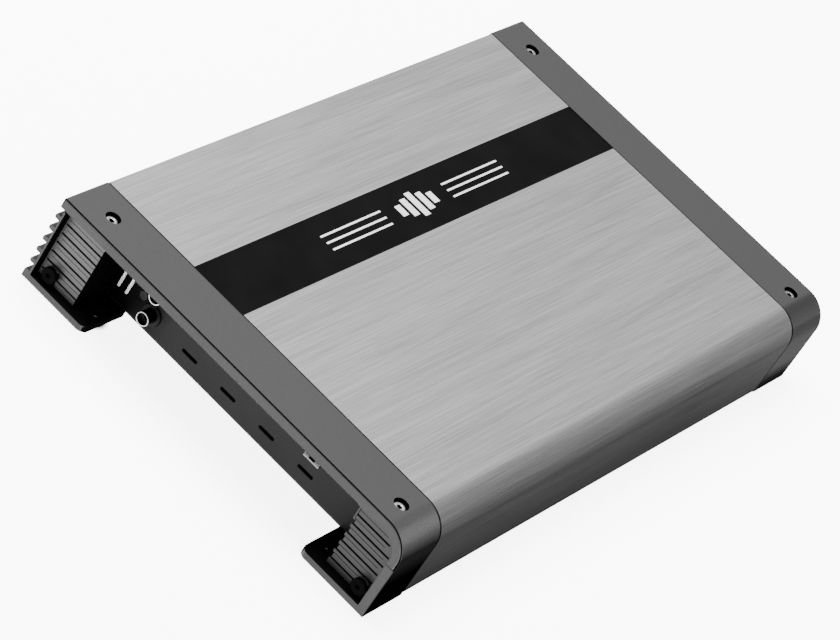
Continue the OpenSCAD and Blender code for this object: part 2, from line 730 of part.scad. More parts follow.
// Plastic housing with a pocket, a wire mouth and a screwdriver hole for each brass clamp.
module terminal_housing(first_y, pitch, count, half, entry_r, key_r, box) difference() {
    translate([terminal_face_x - 34, box[0], block_low]) cube([34, box[1], box[2]]);
    for (i = [0:count - 1]) translate([0, first_y + i * pitch, 0]) {
        translate([clamp_x - 0.1, -half - 0.1, block_low + 1.2])
            cube([clamp_run + 0.2, 2 * half + 0.2, 18.6]);
        translate([0, 0, terminal_z]) rod_x(terminal_face_x - 4, 5, entry_r + 0.3);
        translate([clamp_x + clamp_run / 2, 0, block_high - 4]) cylinder(h = 6, r = key_r);
    }
}

module brass_clamps(first_y, pitch, count, half, entry_r, thread_r) from_corner()
    for (i = [0:count - 1]) translate([0, first_y + i * pitch, 0]) difference() {
        translate([clamp_x, -half, block_low + 1.3]) cube([clamp_run, 2 * half, 18.4]);
        translate([0, 0, terminal_z]) rod_x(clamp_x + 1, clamp_run, entry_r);
        translate([clamp_x + clamp_run / 2, 0, terminal_z]) cylinder(h = 14, r = thread_r + run_fit);
    }

// A clamp screw backed out just above its wire entry.
module clamp_screw(at, thread_r, entry_r) {
    tip_z = terminal_z + entry_r + 0.2;
    length = 29.5 - tip_z;
    color("gainsboro") from_corner() translate([clamp_x + clamp_run / 2, at, tip_z]) difference() {
        cylinder(h = length, r = thread_r);
        translate([0, 0, length - 2.5]) cylinder(h = 4, r = thread_r * 0.6, $fn = 6);
    }
}

module power_block() color([0.05, 0.05, 0.05]) from_corner()
    terminal_housing(power_first_y, power_pitch, 3, 7, power_entry_r, 3.4, terminal_blocks[0]);
module power_clamps() color("goldenrod")
    brass_clamps(power_first_y, power_pitch, 3, 7, power_entry_r, 3);
module ground_screw() clamp_screw(power_first_y, 3, power_entry_r);
module turn_on_screw() clamp_screw(power_first_y + power_pitch, 3, power_entry_r);
module battery_screw() clamp_screw(power_first_y + 2 * power_pitch, 3, power_entry_r);

module speaker_block() color([0.05, 0.05, 0.05]) from_corner()
    terminal_housing(speaker_first_y, speaker_pitch, 4, 5, speaker_entry_r, 2.6, terminal_blocks[2]);
module speaker_clamps() color("goldenrod")
    brass_clamps(speaker_first_y, speaker_pitch, 4, 5, speaker_entry_r, 2.3);
module speaker_screw_1() clamp_screw(speaker_first_y, 2.3, speaker_entry_r);
module speaker_screw_2() clamp_screw(speaker_first_y + speaker_pitch, 2.3, speaker_entry_r);
module speaker_screw_3() clamp_screw(speaker_first_y + 2 * speaker_pitch, 2.3, speaker_entry_r);
module speaker_screw_4() clamp_screw(speaker_first_y + 3 * speaker_pitch, 2.3, speaker_entry_r);

fuse_mid_z = 21.9;
fuse_seat_x = terminal_face_x - 4;

module fuse_holder() color([0.05, 0.05, 0.05]) from_corner() difference() {
    translate([terminal_face_x - 28, terminal_blocks[1][0], block_low])
        cube([24, terminal_blocks[1][1], terminal_blocks[1][2]]);
    for (y = fuse_y, side = [-1, 1])
        translate([fuse_seat_x - 9, y - 0.5, fuse_mid_z + side * 6.2 - 2.7]) cube([10, 1, 5.4]);
}

// A blade fuse; its two blades sit in the holder's slots.
module blade_fuse(at) color([0.15, 0.5, 0.2]) from_corner() {
    translate([fuse_seat_x + 0.4, at - 2.5, fuse_mid_z - 9.5]) cube([11.5, 5, 19]);
    for (side = [-1, 1])
        translate([fuse_seat_x - 7, at - 0.33, fuse_mid_z + side * 6.2 - 2.55]) cube([7.6, 0.66, 5.1]);
}

module fuse_a() blade_fuse(fuse_y[0]);
module fuse_b() blade_fuse(fuse_y[1]);

top_cover();
nameplate_band();
emblem();
heatsink();
end_cap_input();
end_cap_power();
foot_front_input();
foot_rear_input();
foot_front_power();
foot_rear_power();
bottom_plate();
input_panel();
power_panel();
cap_screws();
foot_screws();
bottom_screws();
m3_screws();
rca_block();
rca_shells();
rca_insulators();
rca_contacts();
remote_jack();
jack_contacts();
status_lights();
pot_bodies();
gain_knob();
lowpass_knob();
subsonic_knob();
bass_knob();
switch_bodies();
phase_lever();
filter_lever();
control_board();
main_board();
board_standoffs();
heat_bars();
device_screws();
insulator_pads();
transistors();
clamp_bars();
toroid_core();
toroid_winding();
inductor_cores();
inductor_windings();
capacitors();
control_ics();
power_block();
power_clamps();
ground_screw();
turn_on_screw();
battery_screw();
speaker_block();
speaker_clamps();
speaker_screw_1();
speaker_screw_2();
speaker_screw_3();
speaker_screw_4();
fuse_holder();
fuse_a();
fuse_b();
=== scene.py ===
import json
import math

import bmesh
import bpy
from mathutils import Matrix, Vector


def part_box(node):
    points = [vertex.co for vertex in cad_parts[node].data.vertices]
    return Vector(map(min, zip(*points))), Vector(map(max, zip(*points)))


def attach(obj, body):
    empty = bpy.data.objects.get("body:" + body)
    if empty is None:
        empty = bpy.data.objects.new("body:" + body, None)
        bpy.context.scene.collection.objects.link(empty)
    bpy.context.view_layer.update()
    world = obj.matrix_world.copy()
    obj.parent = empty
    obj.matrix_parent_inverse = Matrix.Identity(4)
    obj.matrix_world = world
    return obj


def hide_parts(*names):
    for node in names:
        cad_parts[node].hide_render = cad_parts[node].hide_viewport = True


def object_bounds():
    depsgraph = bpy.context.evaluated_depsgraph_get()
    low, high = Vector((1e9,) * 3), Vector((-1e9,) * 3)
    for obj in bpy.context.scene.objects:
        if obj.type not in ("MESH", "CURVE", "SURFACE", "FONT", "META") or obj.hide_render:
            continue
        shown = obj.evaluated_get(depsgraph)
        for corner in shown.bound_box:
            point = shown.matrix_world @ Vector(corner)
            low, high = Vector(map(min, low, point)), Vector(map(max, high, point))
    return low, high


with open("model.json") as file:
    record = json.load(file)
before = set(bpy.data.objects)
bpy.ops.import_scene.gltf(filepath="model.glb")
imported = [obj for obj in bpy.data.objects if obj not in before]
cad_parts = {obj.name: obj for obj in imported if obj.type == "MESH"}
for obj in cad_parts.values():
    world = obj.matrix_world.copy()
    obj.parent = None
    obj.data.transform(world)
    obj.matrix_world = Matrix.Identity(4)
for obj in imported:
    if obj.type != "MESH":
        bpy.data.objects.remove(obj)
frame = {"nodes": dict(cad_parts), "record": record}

MM = 0.001
CAD_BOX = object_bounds()
lo, hi = CAD_BOX
nodes = frame["nodes"]
record = frame["record"]
scene = bpy.context.scene
slot_of = {s["node"]: s["material_slot"] for s in record["subparts"]}
body_of_node = {n: b for b, ns in record["behaviour"]["bodies"].items() for n in ns}

# The body and its end caps in millimetres, from the input end, the front wall and the ground.
LENGTH, DEPTH, HEIGHT = (side / MM for side in hi - lo)
OUTER_R, INNER_R = 17.0, 11.0                     # the cap's rounded front, outside and inside
CAP_RUN, CAP_PLATE, CAP_WALL = 34.8, 6.5, 5.4     # along the body, thickness on top and in front
FOOT_TOP = 35.3                                   # where the cap's front wall meets the foot
REAR_CHAMFER = 0.8
SCREW_X, SCREW_Y = 16.5, (21.6, 235.5)
SCREW_SEAT = HEIGHT - 5.6
HEAD_R, HEAD_H, KEY_R = 3.3, 3.6, 1.6             # the cap screws' heads and their hexagons
SHELL_R = 4.15


# ---------- Camera ----------

def make_camera():
    """A long lens looks down on the input end; its place was fitted to the body's corners."""
    right = Vector((0.5567826825, -0.6915271880, 0.4601990794))
    down = Vector((-0.2679574104, -0.6739257601, -0.6884932070))
    ahead = Vector((0.7862517858, 0.2600273411, -0.5605300271))
    data = bpy.data.cameras.new("camera")
    data.sensor_width = 36.0
    data.lens = 169.706
    data.clip_start, data.clip_end = 0.05, 50
    cam = bpy.data.objects.new("camera", data)
    scene.collection.objects.link(cam)
    turn = Matrix((right, -down, -ahead)).transposed()
    at = Matrix.Translation((-1.72339, -0.56473, 1.23003))
    cam.matrix_world = at @ turn.to_4x4()
    scene.camera = cam


make_camera()


# ---------- Node materials ----------

class Shade:
    """A short way to build one Principled material from nodes."""

    def __init__(self, name, color, rough, metal=0.0, **sockets):
        self.mat = bpy.data.materials.new(name)
        self.mat.use_nodes = True
        self.nodes = self.mat.node_tree.nodes
        self.links = self.mat.node_tree.links
        self.bsdf = self.nodes["Principled BSDF"]
        self.set(self.bsdf, "Base Color", (*color, 1.0))
        self.set(self.bsdf, "Roughness", rough)
        self.set(self.bsdf, "Metallic", metal)
        for key, value in sockets.items():
            self.set(self.bsdf, key.replace("_", " "), value)
        self.coords = self.nodes.new("ShaderNodeTexCoord")

    def set(self, node, socket, value):
        node.inputs[socket].default_value = value

    def link(self, a, out, b, into):
        self.links.new(a.outputs[out], b.inputs[into])

    def noise(self, scale, detail=3.0, rough=0.5, stretch=(1, 1, 1)):
        mapping = self.nodes.new("ShaderNodeMapping")
        mapping.inputs["Scale"].default_value = stretch
        self.link(self.coords, "Object", mapping, "Vector")
        tex = self.nodes.new("ShaderNodeTexNoise")
        self.set(tex, "Scale", scale)
        self.set(tex, "Detail", detail)
        self.set(tex, "Roughness", rough)
        self.link(mapping, "Vector", tex, "Vector")
        return tex

    def ramp(self, value, out, from_lo, from_hi, low, high):
        node = self.nodes.new("ShaderNodeMapRange")
        self.set(node, "From Min", from_lo)
        self.set(node, "From Max", from_hi)
        self.set(node, "To Min", low)
        self.set(node, "To Max", high)
        self.link(value, out, node, "Value")
        return node

    def mix(self, fac, first, second):
        """Mixes two colours, each a tuple or an earlier mix, by a value node."""
        node = self.nodes.new("ShaderNodeMix")
        node.data_type = "RGBA"
        self.links.new(fac.outputs[0], node.inputs["Factor"])
        for socket, color in zip(self.color_ins(node), (first, second)):
            if isinstance(color, tuple):
                socket.default_value = (*color, 1.0)
            else:
                self.links.new(self.color_out(color), socket)
        return node

    def color_ins(self, node):
        return [i for i in node.inputs if i.type == "RGBA"]

    def color_out(self, node):
        return [o for o in node.outputs if o.type == "RGBA"][0]

    def paint(self, mix):
        self.links.new(self.color_out(mix), self.bsdf.inputs["Base Color"])

    def roughen(self, tex, low, high):
        fac = self.ramp(tex, "Fac", 0.3, 0.7, low, high)
        self.links.new(fac.outputs[0], self.bsdf.inputs["Roughness"])

    def bump(self, tex, strength, distance):
        node = self.nodes.new("ShaderNodeBump")
        self.set(node, "Strength", strength)
        self.set(node, "Distance", distance)
        self.link(tex, "Fac", node, "Height")
        self.link(node, "Normal", self.bsdf, "Normal")

    def along(self, output, axis):
        """One axis of the object's own position ("Object") or direction ("Normal")."""
        node = self.nodes.new("ShaderNodeSeparateXYZ")
        self.link(self.coords, output, node, "Vector")
        return node, "XYZ".index(axis)

    def calc(self, operation, *values):
        """A math node over the first outputs of the nodes given."""
        node = self.nodes.new("ShaderNodeMath")
        node.operation = operation
        for value, socket in zip(values, node.inputs):
            self.links.new(value.outputs[0], socket)
        return node

    def both(self, first, second):
        return self.calc("MULTIPLY", first, second)

    def steps(self, value, out, from_lo, from_hi, stops):
        """A curve through (position 0 to 1, value) stops over one range of a value."""
        place = self.ramp(value, out, from_lo, from_hi, 0.0, 1.0)
        node = self.nodes.new("ShaderNodeValToRGB")
        self.link(place, 0, node, "Fac")
        marks = node.color_ramp.elements
        while len(marks) < len(stops):
            marks.new(0.5)
        for i, (at, level) in enumerate(sorted(stops)):
            marks[i].position = at
            marks[i].color = (level, level, level, 1.0)
        return node

    def scaled(self, tone, by):
        """A tone multiplied by a grey level."""
        node = self.nodes.new("ShaderNodeMix")
        node.data_type = "RGBA"
        node.blend_type = "MULTIPLY"
        self.set(node, "Factor", 1.0)
        first, second = self.color_ins(node)
        self.links.new(self.color_out(tone), first)
        self.links.new(by.outputs[0], second)
        return node

    def blend(self, fac, first, second):
        """Runs from the first, a node or a number, to the second as fac goes from 0 to 1."""
        node = self.nodes.new("ShaderNodeMapRange")
        self.links.new(fac.outputs[0], node.inputs["Value"])
        for socket, value in (("To Min", first), ("To Max", second)):
            if isinstance(value, float):
                self.set(node, socket, value)
            else:
                self.links.new(value.outputs[0], node.inputs[socket])
        return node

    def painted_front_shade(self, curve, z_high, z_low, foot_level):
        """Painted shade on the rounded front: a curve over its turn, then a run down its wall.

        The curve's stops are given against how far the surface faces the front, 0 to 1.
        The wall is known by its place too, so that softened edges on it match it."""
        turn = self.steps(*self.along("Normal", "Y"), 0.0, -1.0, curve)
        wall = self.ramp(*self.along("Object", "Y"), lo.y + 0.3 * MM, lo.y + 0.6 * MM, 1.0, 0.0)
        turn = self.blend(wall, turn, curve[-1][1])
        facing = self.ramp(*self.along("Normal", "Y"), -0.9, -1.0, 0.0, 1.0)
        run = self.ramp(*self.along("Object", "Z"), z_high, z_low, 1.0, foot_level)
        return self.both(turn, self.blend(self.calc("MAXIMUM", wall, facing), 1.0, run))

    def painted_floor_plate_shade(self, z_full, z_none):
        """Painted shade: nearly nothing on upward faces that lie low, as the feet's floor plates
        do.
        """
        facing = self.ramp(*self.along("Normal", "Z"), 0.5, 0.9, 0.0, 1.0)
        lower = self.ramp(*self.along("Object", "Z"), z_none, z_full, 0.0, 1.0)
        return self.ramp(self.both(facing, lower), 0, 0.0, 1.0, 1.0, 0.01)

    def painted_end_face_shade(self, level):
        """Painted shade: lower on surfaces that face out of an end."""
        facing = self.calc("ABSOLUTE", self.along("Normal", "X")[0])
        return self.ramp(facing, 0, 0.75, 0.95, 1.0, level)

    def painted_gap_shadow(self, inner, width):
        """Painted shadow along the edge next to the cover, darker on the rounded front than on
        top.
        """
        out = self.calc("ABSOLUTE", self.along("Object", "X")[0])
        strong = self.ramp(out, 0, inner + width * 0.4, inner + width, 0.02, 1.0)
        faint = self.ramp(out, 0, inner, inner + width, 0.45, 1.0)
        facing = self.ramp(*self.along("Normal", "Y"), -0.1, -0.5, 0.0, 1.0)
        return self.blend(facing, faint, strong)

    def dull_front(self, metal, specular):
        """Takes metal and specular away where the surface turns to the front."""
        for socket, value in (("Metallic", metal), ("Specular IOR Level", specular)):
            fade = self.ramp(*self.along("Normal", "Y"), -0.2, -0.8, value, 0.0)
            self.links.new(fade.outputs[0], self.bsdf.inputs[socket])


def grey(v, warm=0.0):
    return (v * (1 + warm), v, v * (1 - warm))


# Painted shade: how light the rounded front is as it turns from the top (0) to the front (1);
# the input cap's levels above 1 are a painted highlight.
COVER_TURN_SHADE = ((0.0, 1.0), (0.17, 0.82), (0.34, 0.66), (0.5, 0.52), (0.64, 0.38), (0.77, 0.31),
              (0.87, 0.25), (0.94, 0.19), (1.0, 0.125))
INPUT_TURN_SHADE_AND_HIGHLIGHT = ((0.0, 0.95), (0.17, 0.9), (0.34, 1.15), (0.5, 1.8), (0.64, 1.8), (0.77, 1.4),
              (0.87, 0.9), (0.94, 0.45), (0.985, 0.22), (1.0, 0.14))
POWER_TURN_SHADE = ((0.0, 0.95), (0.08, 0.7), (0.17, 0.45), (0.34, 0.48), (0.5, 0.63), (0.64, 0.72),
              (0.77, 0.8), (0.94, 0.8), (1.0, 0.92))
# Painted shade: how light the cover's front wall is from the input end (0) to the power end (1),
# lighter towards the power end.
COVER_WALL_SHADE_BY_END = ((0.0, 0.85), (0.3, 1.0), (0.7, 1.05), (1.0, 1.6))
FRONT_SPECULAR = 0.15


def brushed(name, base, rough, metal=1.0, contrast=0.2, fine=900.0, front=False):
    """Aluminium brushed along X; front adds painted shade to the rounded front and its wall."""
    m = Shade(name, grey(base), rough, metal, Anisotropic=0.55,
              Specular_IOR_Level=FRONT_SPECULAR)
    lines = m.noise(1.0, 2.0, 0.6, (20, fine, fine))
    long_lines = m.noise(1.0, 1.0, 0.5, (11, fine * 0.7, fine * 0.7))
    broad = m.noise(1.0, 2.0, 0.5, (4, fine * 0.03, fine * 0.03))
    fac = m.ramp(lines, "Fac", 0.34, 0.66, 0.0, 1.0)
    tone = m.mix(fac, grey(base * (1 - contrast)), grey(base * (1 + contrast)))
    streak = m.ramp(long_lines, "Fac", 0.5, 0.75, 0.0, 0.5)
    tone = m.mix(streak, tone, grey(base * (1 - contrast)))
    cloud = m.ramp(broad, "Fac", 0.3, 0.7, 0.0, 0.25)
    tone = m.mix(cloud, tone, grey(base * 0.9))
    if front:
        # Painted shade down the rounded front and its wall, lighter towards the power end; metal
        # and specular are taken off there too.
        level = m.painted_front_shade(COVER_TURN_SHADE, hi.z - OUTER_R * MM, lo.z + 4 * MM, 0.65)
        facing = m.ramp(*m.along("Normal", "Y"), -0.5, -0.9, 0.0, 1.0)
        ends = m.steps(*m.along("Object", "X"), lo.x, hi.x, COVER_WALL_SHADE_BY_END)
        tone = m.scaled(tone, m.both(level, m.blend(facing, 1.0, ends)))
        m.dull_front(metal, FRONT_SPECULAR)
    m.paint(tone)
    m.roughen(broad, rough - 0.05, rough + 0.06)
    m.bump(lines, 0.3, 0.00004)
    direction = m.nodes.new("ShaderNodeCombineXYZ")
    m.set(direction, "X", 1.0)
    m.link(direction, "Vector", m.bsdf, "Tangent")
    return m.mat


def blasted(name, base, rough, metal=1.0, grain=2600.0, depth=0.00005, spread=0.2,
            color=None, front=False, recess=None):
    """Sand-blasted metal; front adds painted shade and a painted highlight to the rounded front,
    recess adds painted shade to the faces that turn to the front.
    """
    tint = color or grey(base)
    m = Shade(name, tint, rough, metal, Specular_IOR_Level=FRONT_SPECULAR)
    sand = m.noise(grain, 2.0, 0.6)
    cloud = m.noise(22.0, 3.0, 0.55)
    fac = m.ramp(sand, "Fac", 0.3, 0.7, 0.0, 1.0)
    tone = m.mix(fac, *(tuple(c * (1 + way * spread) for c in tint) for way in (-1, 1)))
    if front:
        # Painted shade on the caps' and feet's rounded fronts and walls, nearly black at the
        # input end and lighter at the power end, with a painted highlight on the input cap's
        # curve; then painted shade on the feet's floor plates and end faces and a painted shadow
        # line beside the cover.
        input_end = m.painted_front_shade(INPUT_TURN_SHADE_AND_HIGHLIGHT, hi.z - OUTER_R * MM, hi.z - 34 * MM, 0.06)
        power_end = m.painted_front_shade(POWER_TURN_SHADE, lo.z + 19 * MM, lo.z + 6 * MM, 0.12)
        which = m.ramp(*m.along("Object", "X"), -0.15, 0.15, 0.0, 1.0)
        level = m.blend(which, input_end, power_end)
        level = m.both(level, m.painted_floor_plate_shade(lo.z + 4.8 * MM, lo.z + 6.2 * MM))
        level = m.both(level, m.painted_end_face_shade(0.55))
        level = m.both(level, m.painted_gap_shadow(hi.x - CAP_RUN * MM, 1.1 * MM))
        tone = m.scaled(tone, level)
        m.dull_front(metal, FRONT_SPECULAR)
    if recess is not None:
        # Painted shade: faces turned to the front go nearly black, and the front half is darker
        # than the back.
        level = m.ramp(*m.along("Normal", "Y"), -0.25, -0.6, 1.0, recess)
        level = m.both(level, m.ramp(*m.along("Object", "Y"), -0.02, 0.02, 0.28, 0.6))
        tone = m.scaled(tone, level)
        m.dull_front(metal, FRONT_SPECULAR)
    m.paint(tone)
    m.roughen(cloud, rough - 0.04, rough + 0.05)
    m.bump(sand, 0.35, depth)
    return m.mat


def moulded(name, color, rough, grain=1500.0, depth=0.00003, **sockets):
    """Moulded plastic, paint or a coating, with a faint skin."""
    m = Shade(name, color, rough, 0.0, **sockets)
    skin = m.noise(grain, 2.0, 0.5)
    cloud = m.noise(40.0, 2.0, 0.5)
    fac = m.ramp(cloud, "Fac", 0.3, 0.7, 0.0, 1.0)
    m.paint(m.mix(fac, *(tuple(c * level for c in color) for level in (0.86, 1.14))))
    m.roughen(skin, max(0.05, rough - 0.08), rough + 0.08)
    m.bump(skin, 0.25, depth)
    return m.mat


MATS = {
    # brushed_aluminium, sink_aluminium and cap_aluminium carry painted shade; cap_aluminium
    # carries a painted highlight too.
    "brushed_aluminium": brushed("brushed_aluminium", 0.13, 0.42, 0.6, 0.3, 3600.0, True),
    "black_band": moulded("black_band", grey(0.0035), 0.5, 900.0, 0.00001,
                          Specular_IOR_Level=0.0),
    "silver_print": blasted("silver_print", 0.72, 0.35, 0.6),
    "sink_aluminium": blasted("sink_aluminium", 0.05, 0.5, 0.6, recess=0.03),
    "cap_aluminium": blasted("cap_aluminium", 0.024, 0.55, 0.3, spread=0.35, front=True),
    "painted_steel": moulded("painted_steel", grey(0.016), 0.6, Specular_IOR_Level=0.05),
    "bright_steel": blasted("bright_steel", 0.55, 0.28),
    "black_steel": moulded("black_steel", grey(0.0015), 0.6, Specular_IOR_Level=0.0),
    "black_plastic": moulded("black_plastic", grey(0.003), 0.45, Specular_IOR_Level=0.05),
    "shell_metal": blasted("shell_metal", 0.7, 0.2, 1.0, 900.0, 0.00001),
    "contact_gold": blasted("contact_gold", 0.7, 0.35, 0.6, color=(0.10, 0.065, 0.02)),
    "light_pipe": moulded("light_pipe", grey(0.5), 0.3),
    "pot_plastic": moulded("pot_plastic", (0.05, 0.12, 0.1), 0.5),
    "board_green": moulded("board_green", (0.015, 0.08, 0.035), 0.35),
    "brass": blasted("brass", 0.5, 0.28, color=(0.6, 0.42, 0.16)),
    "plain_aluminium": brushed("plain_aluminium", 0.55, 0.38),
    "pad_grey": moulded("pad_grey", grey(0.4), 0.6),
    "ferrite": moulded("ferrite", grey(0.05), 0.6),
    "core_green": moulded("core_green", (0.04, 0.15, 0.08), 0.4),
    "enamel_copper": blasted("enamel_copper", 0.4, 0.28, color=(0.42, 0.16, 0.05)),
    "can_blue": moulded("can_blue", (0.02, 0.03, 0.1), 0.35),
    "fuse_green": moulded("fuse_green", (0.04, 0.3, 0.09), 0.25),
    "cap_screw_steel": blasted("cap_screw_steel", 0.30, 0.35, 0.9),
    "dull_steel": blasted("dull_steel", 0.008, 0.4, 0.5),
    "contact_painted_shade": blasted("contact_painted_shade", 0.02, 0.5, 0.3, color=(0.012, 0.009, 0.004)),
    "shadow_black": moulded("shadow_black", grey(0.0012), 0.8, Specular_IOR_Level=0.0),
}


def phono_nickel_painted_shade():
    """Bright at the sockets' tips, with painted shade behind them, a painted dark reflection of
    the recess.
    """
    tip_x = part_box("rca_shells")[0].x
    m = Shade("phono_nickel_painted_shade", grey(0.22), 0.2, 1.0)
    fade = m.ramp(*m.along("Object", "X"), tip_x + 0.7 * MM, tip_x + 1.1 * MM, 0.0, 1.0)
    m.paint(m.mix(fade, grey(0.22), grey(0.001)))
    m.roughen(m.noise(300.0, 2.0), 0.16, 0.26)
    return m.mat


def panel_paint_and_shade():
    """The input panel's paint, with painted shade in the corner behind the ribbed stack."""
    m = Shade("panel_paint_and_shade", grey(0.010), 0.6, 0.0, Specular_IOR_Level=0.03)
    mid = (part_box("rca_shells")[0].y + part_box("rca_shells")[1].y) / 2
    cloud = m.ramp(m.noise(40.0, 2.0), "Fac", 0.3, 0.7, 0.0, 1.0)
    corner_shade = m.ramp(*m.along("Object", "Y"), mid - 12 * MM, mid + 8 * MM, 1.0, 0.04)
    m.paint(m.scaled(m.mix(cloud, grey(0.0085), grey(0.0105)), corner_shade))
    m.bump(m.noise(1500.0, 2.0), 0.25, 0.00003)
    return m.mat


def jack_painted_highlight_and_shade():
    """A socket frame in painted shade whose lower edge alone stays bright, a painted highlight.
    """
    m = Shade("jack_painted_highlight_and_shade", grey(0.3), 0.35, 0.3)
    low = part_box("remote_jack")[0].z
    fade = m.ramp(*m.along("Object", "Z"), low + 0.7 * MM, low + 1.0 * MM, 0.0, 1.0)
    m.paint(m.mix(fade, grey(0.10), grey(0.002)))
    m.roughen(m.noise(300.0, 2.0), 0.3, 0.4)
    return m.mat


MATS["phono_nickel_painted_shade"] = phono_nickel_painted_shade()
for name, obj in nodes.items():
    obj.data.materials.clear()
    obj.data.materials.append(MATS[slot_of[name]])
# The phono sockets' centre contacts get a darker gold as painted shade inside the sockets.
nodes["rca_contacts"].data.materials[0] = MATS["contact_painted_shade"]


# ---------- Piece helpers ----------

def finish_piece(name, mesh, node_names, material, smooth_deg=32):
    """Makes one visual piece from a mesh and lets it stand for its CAD nodes."""
    obj = bpy.data.objects.new(name, mesh)
    scene.collection.objects.link(obj)
    mesh.materials.clear()
    mesh.materials.append(material)
    for poly in mesh.polygons:
        poly.use_smooth = True
    mesh.set_sharp_from_angle(angle=math.radians(smooth_deg))
    even = obj.modifiers.new("even", "WEIGHTED_NORMAL")
    even.keep_sharp = True
    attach(obj, body_of_node[node_names[0]])
    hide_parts(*node_names)
    return obj


def softened(node_name, width, segments=2, angle=28, material=None):
    """The CAD node's own shape with its sharp edges rounded over."""
    bm = bmesh.new()
    bm.from_mesh(nodes[node_name].data)
    bmesh.ops.remove_doubles(bm, verts=bm.verts, dist=0.000004)
    bmesh.ops.dissolve_limit(bm, angle_limit=math.radians(0.6), verts=bm.verts, edges=bm.edges)
    limit = math.radians(angle)
    sharp = [e for e in bm.edges if e.is_manifold and e.calc_face_angle(0.0) > limit]
    bmesh.ops.bevel(bm, geom=sharp, offset=width, segments=segments, profile=0.5,
                    affect="EDGES", clamp_overlap=True, offset_type="OFFSET")
    bmesh.ops.remove_doubles(bm, verts=bm.verts, dist=0.000002)
    bmesh.ops.dissolve_degenerate(bm, edges=bm.edges, dist=0.000002)
    bmesh.ops.recalc_face_normals(bm, faces=bm.faces)
    mesh = bpy.data.meshes.new(node_name + "_soft")
    bm.to_mesh(mesh)
    bm.free()
    return finish_piece(node_name + "_piece", mesh, [node_name],
                        material or MATS[slot_of[node_name]])


def blacken(mesh, test):
    """Gives the faces that pass a test of (centre in mm, direction) the shadow material."""
    mesh.materials.append(MATS["shadow_black"])
    last = len(mesh.materials) - 1
    for poly in mesh.polygons:
        if test((poly.center - lo) / MM, poly.normal):
            poly.material_index = last


def corner(x, y, z):
    """Millimetres from the input end, the front wall and the ground, to the shared frame."""
    return Vector((lo.x + x * MM, lo.y + y * MM, lo.z + z * MM))


def lathe(bm, profile, at, axis="X", segments=64):
    """Turns a profile of (distance along the axis, radius) pairs about a line through at."""
    rings = []
    for along, radius in profile:
        ring = []
        for i in range(segments):
            a = 2 * math.pi * i / segments
            c, s = radius * math.cos(a), radius * math.sin(a)
            offset = (along, c, s) if axis == "X" else (c, s, along)
            ring.append(bm.verts.new(corner(*(p + o for p, o in zip(at, offset)))))
        rings.append(ring)
    for first, second in zip(rings, rings[1:]):
        for i in range(segments):
            j = (i + 1) % segments
            bm.faces.new((first[i], first[j], second[j], second[i]))
    if profile[0] != profile[-1]:
        bm.faces.new(list(reversed(rings[0])))
        bm.faces.new(rings[-1])
    return rings


def mesh_from(bm, name):
    bmesh.ops.remove_doubles(bm, verts=bm.verts, dist=0.000001)
    bmesh.ops.recalc_face_normals(bm, faces=bm.faces)
    mesh = bpy.data.meshes.new(name)
    bm.to_mesh(mesh)
    bm.free()
    return mesh


def cut(mesh, cutter, name):
    """The first mesh with the second taken out of it."""
    whole = bpy.data.objects.new(name + "_whole", mesh)
    tool = bpy.data.objects.new(name + "_cutter", cutter)
    for obj in (whole, tool):
        scene.collection.objects.link(obj)
    mod = whole.modifiers.new("cut", "BOOLEAN")
    mod.operation, mod.solver, mod.object = "DIFFERENCE", "EXACT", tool
    bpy.context.view_layer.update()
    final = whole.evaluated_get(bpy.context.evaluated_depsgraph_get())
    done = bpy.data.meshes.new_from_object(final)
    done.name = name
    for obj in (whole, tool):
        bpy.data.objects.remove(obj)
    for old in (mesh, cutter):
        bpy.data.meshes.remove(old)
    return done


# ---------- End caps ----------

def cap_paths():
    """Outer and inner edge of the cap's section as (y, z), point for point."""
    turns = [math.radians(180 - i * 3) for i in range(31)]
    under = HEIGHT - CAP_PLATE
    outer = [(0.0, FOOT_TOP)]
    inner = [(CAP_WALL, FOOT_TOP)]
    for a in turns:
        c, s = math.cos(a), math.sin(a)
        outer.append((OUTER_R + OUTER_R * c, HEIGHT - OUTER_R + OUTER_R * s))
        inner.append((CAP_WALL + INNER_R + INNER_R * c, under - INNER_R + INNER_R * s))
    for y in (90.0, 170.0, DEPTH - REAR_CHAMFER):
        outer.append((y, HEIGHT))
        inner.append((y, under))
    outer.append((DEPTH, HEIGHT - REAR_CHAMFER))
    inner.append((DEPTH, under))
    return outer, inner


def inset(path, d):
    """The path moved in by d, square to its own direction."""
    out = []
    for i, (y, z) in enumerate(path):
        y0, z0 = path[max(i - 1, 0)]
        y1, z1 = path[min(i + 1, len(path) - 1)]
        run = math.hypot(y1 - y0, z1 - z0)
        out.append((y + d * (z1 - z0) / run, z - d * (y1 - y0) / run))
    return out


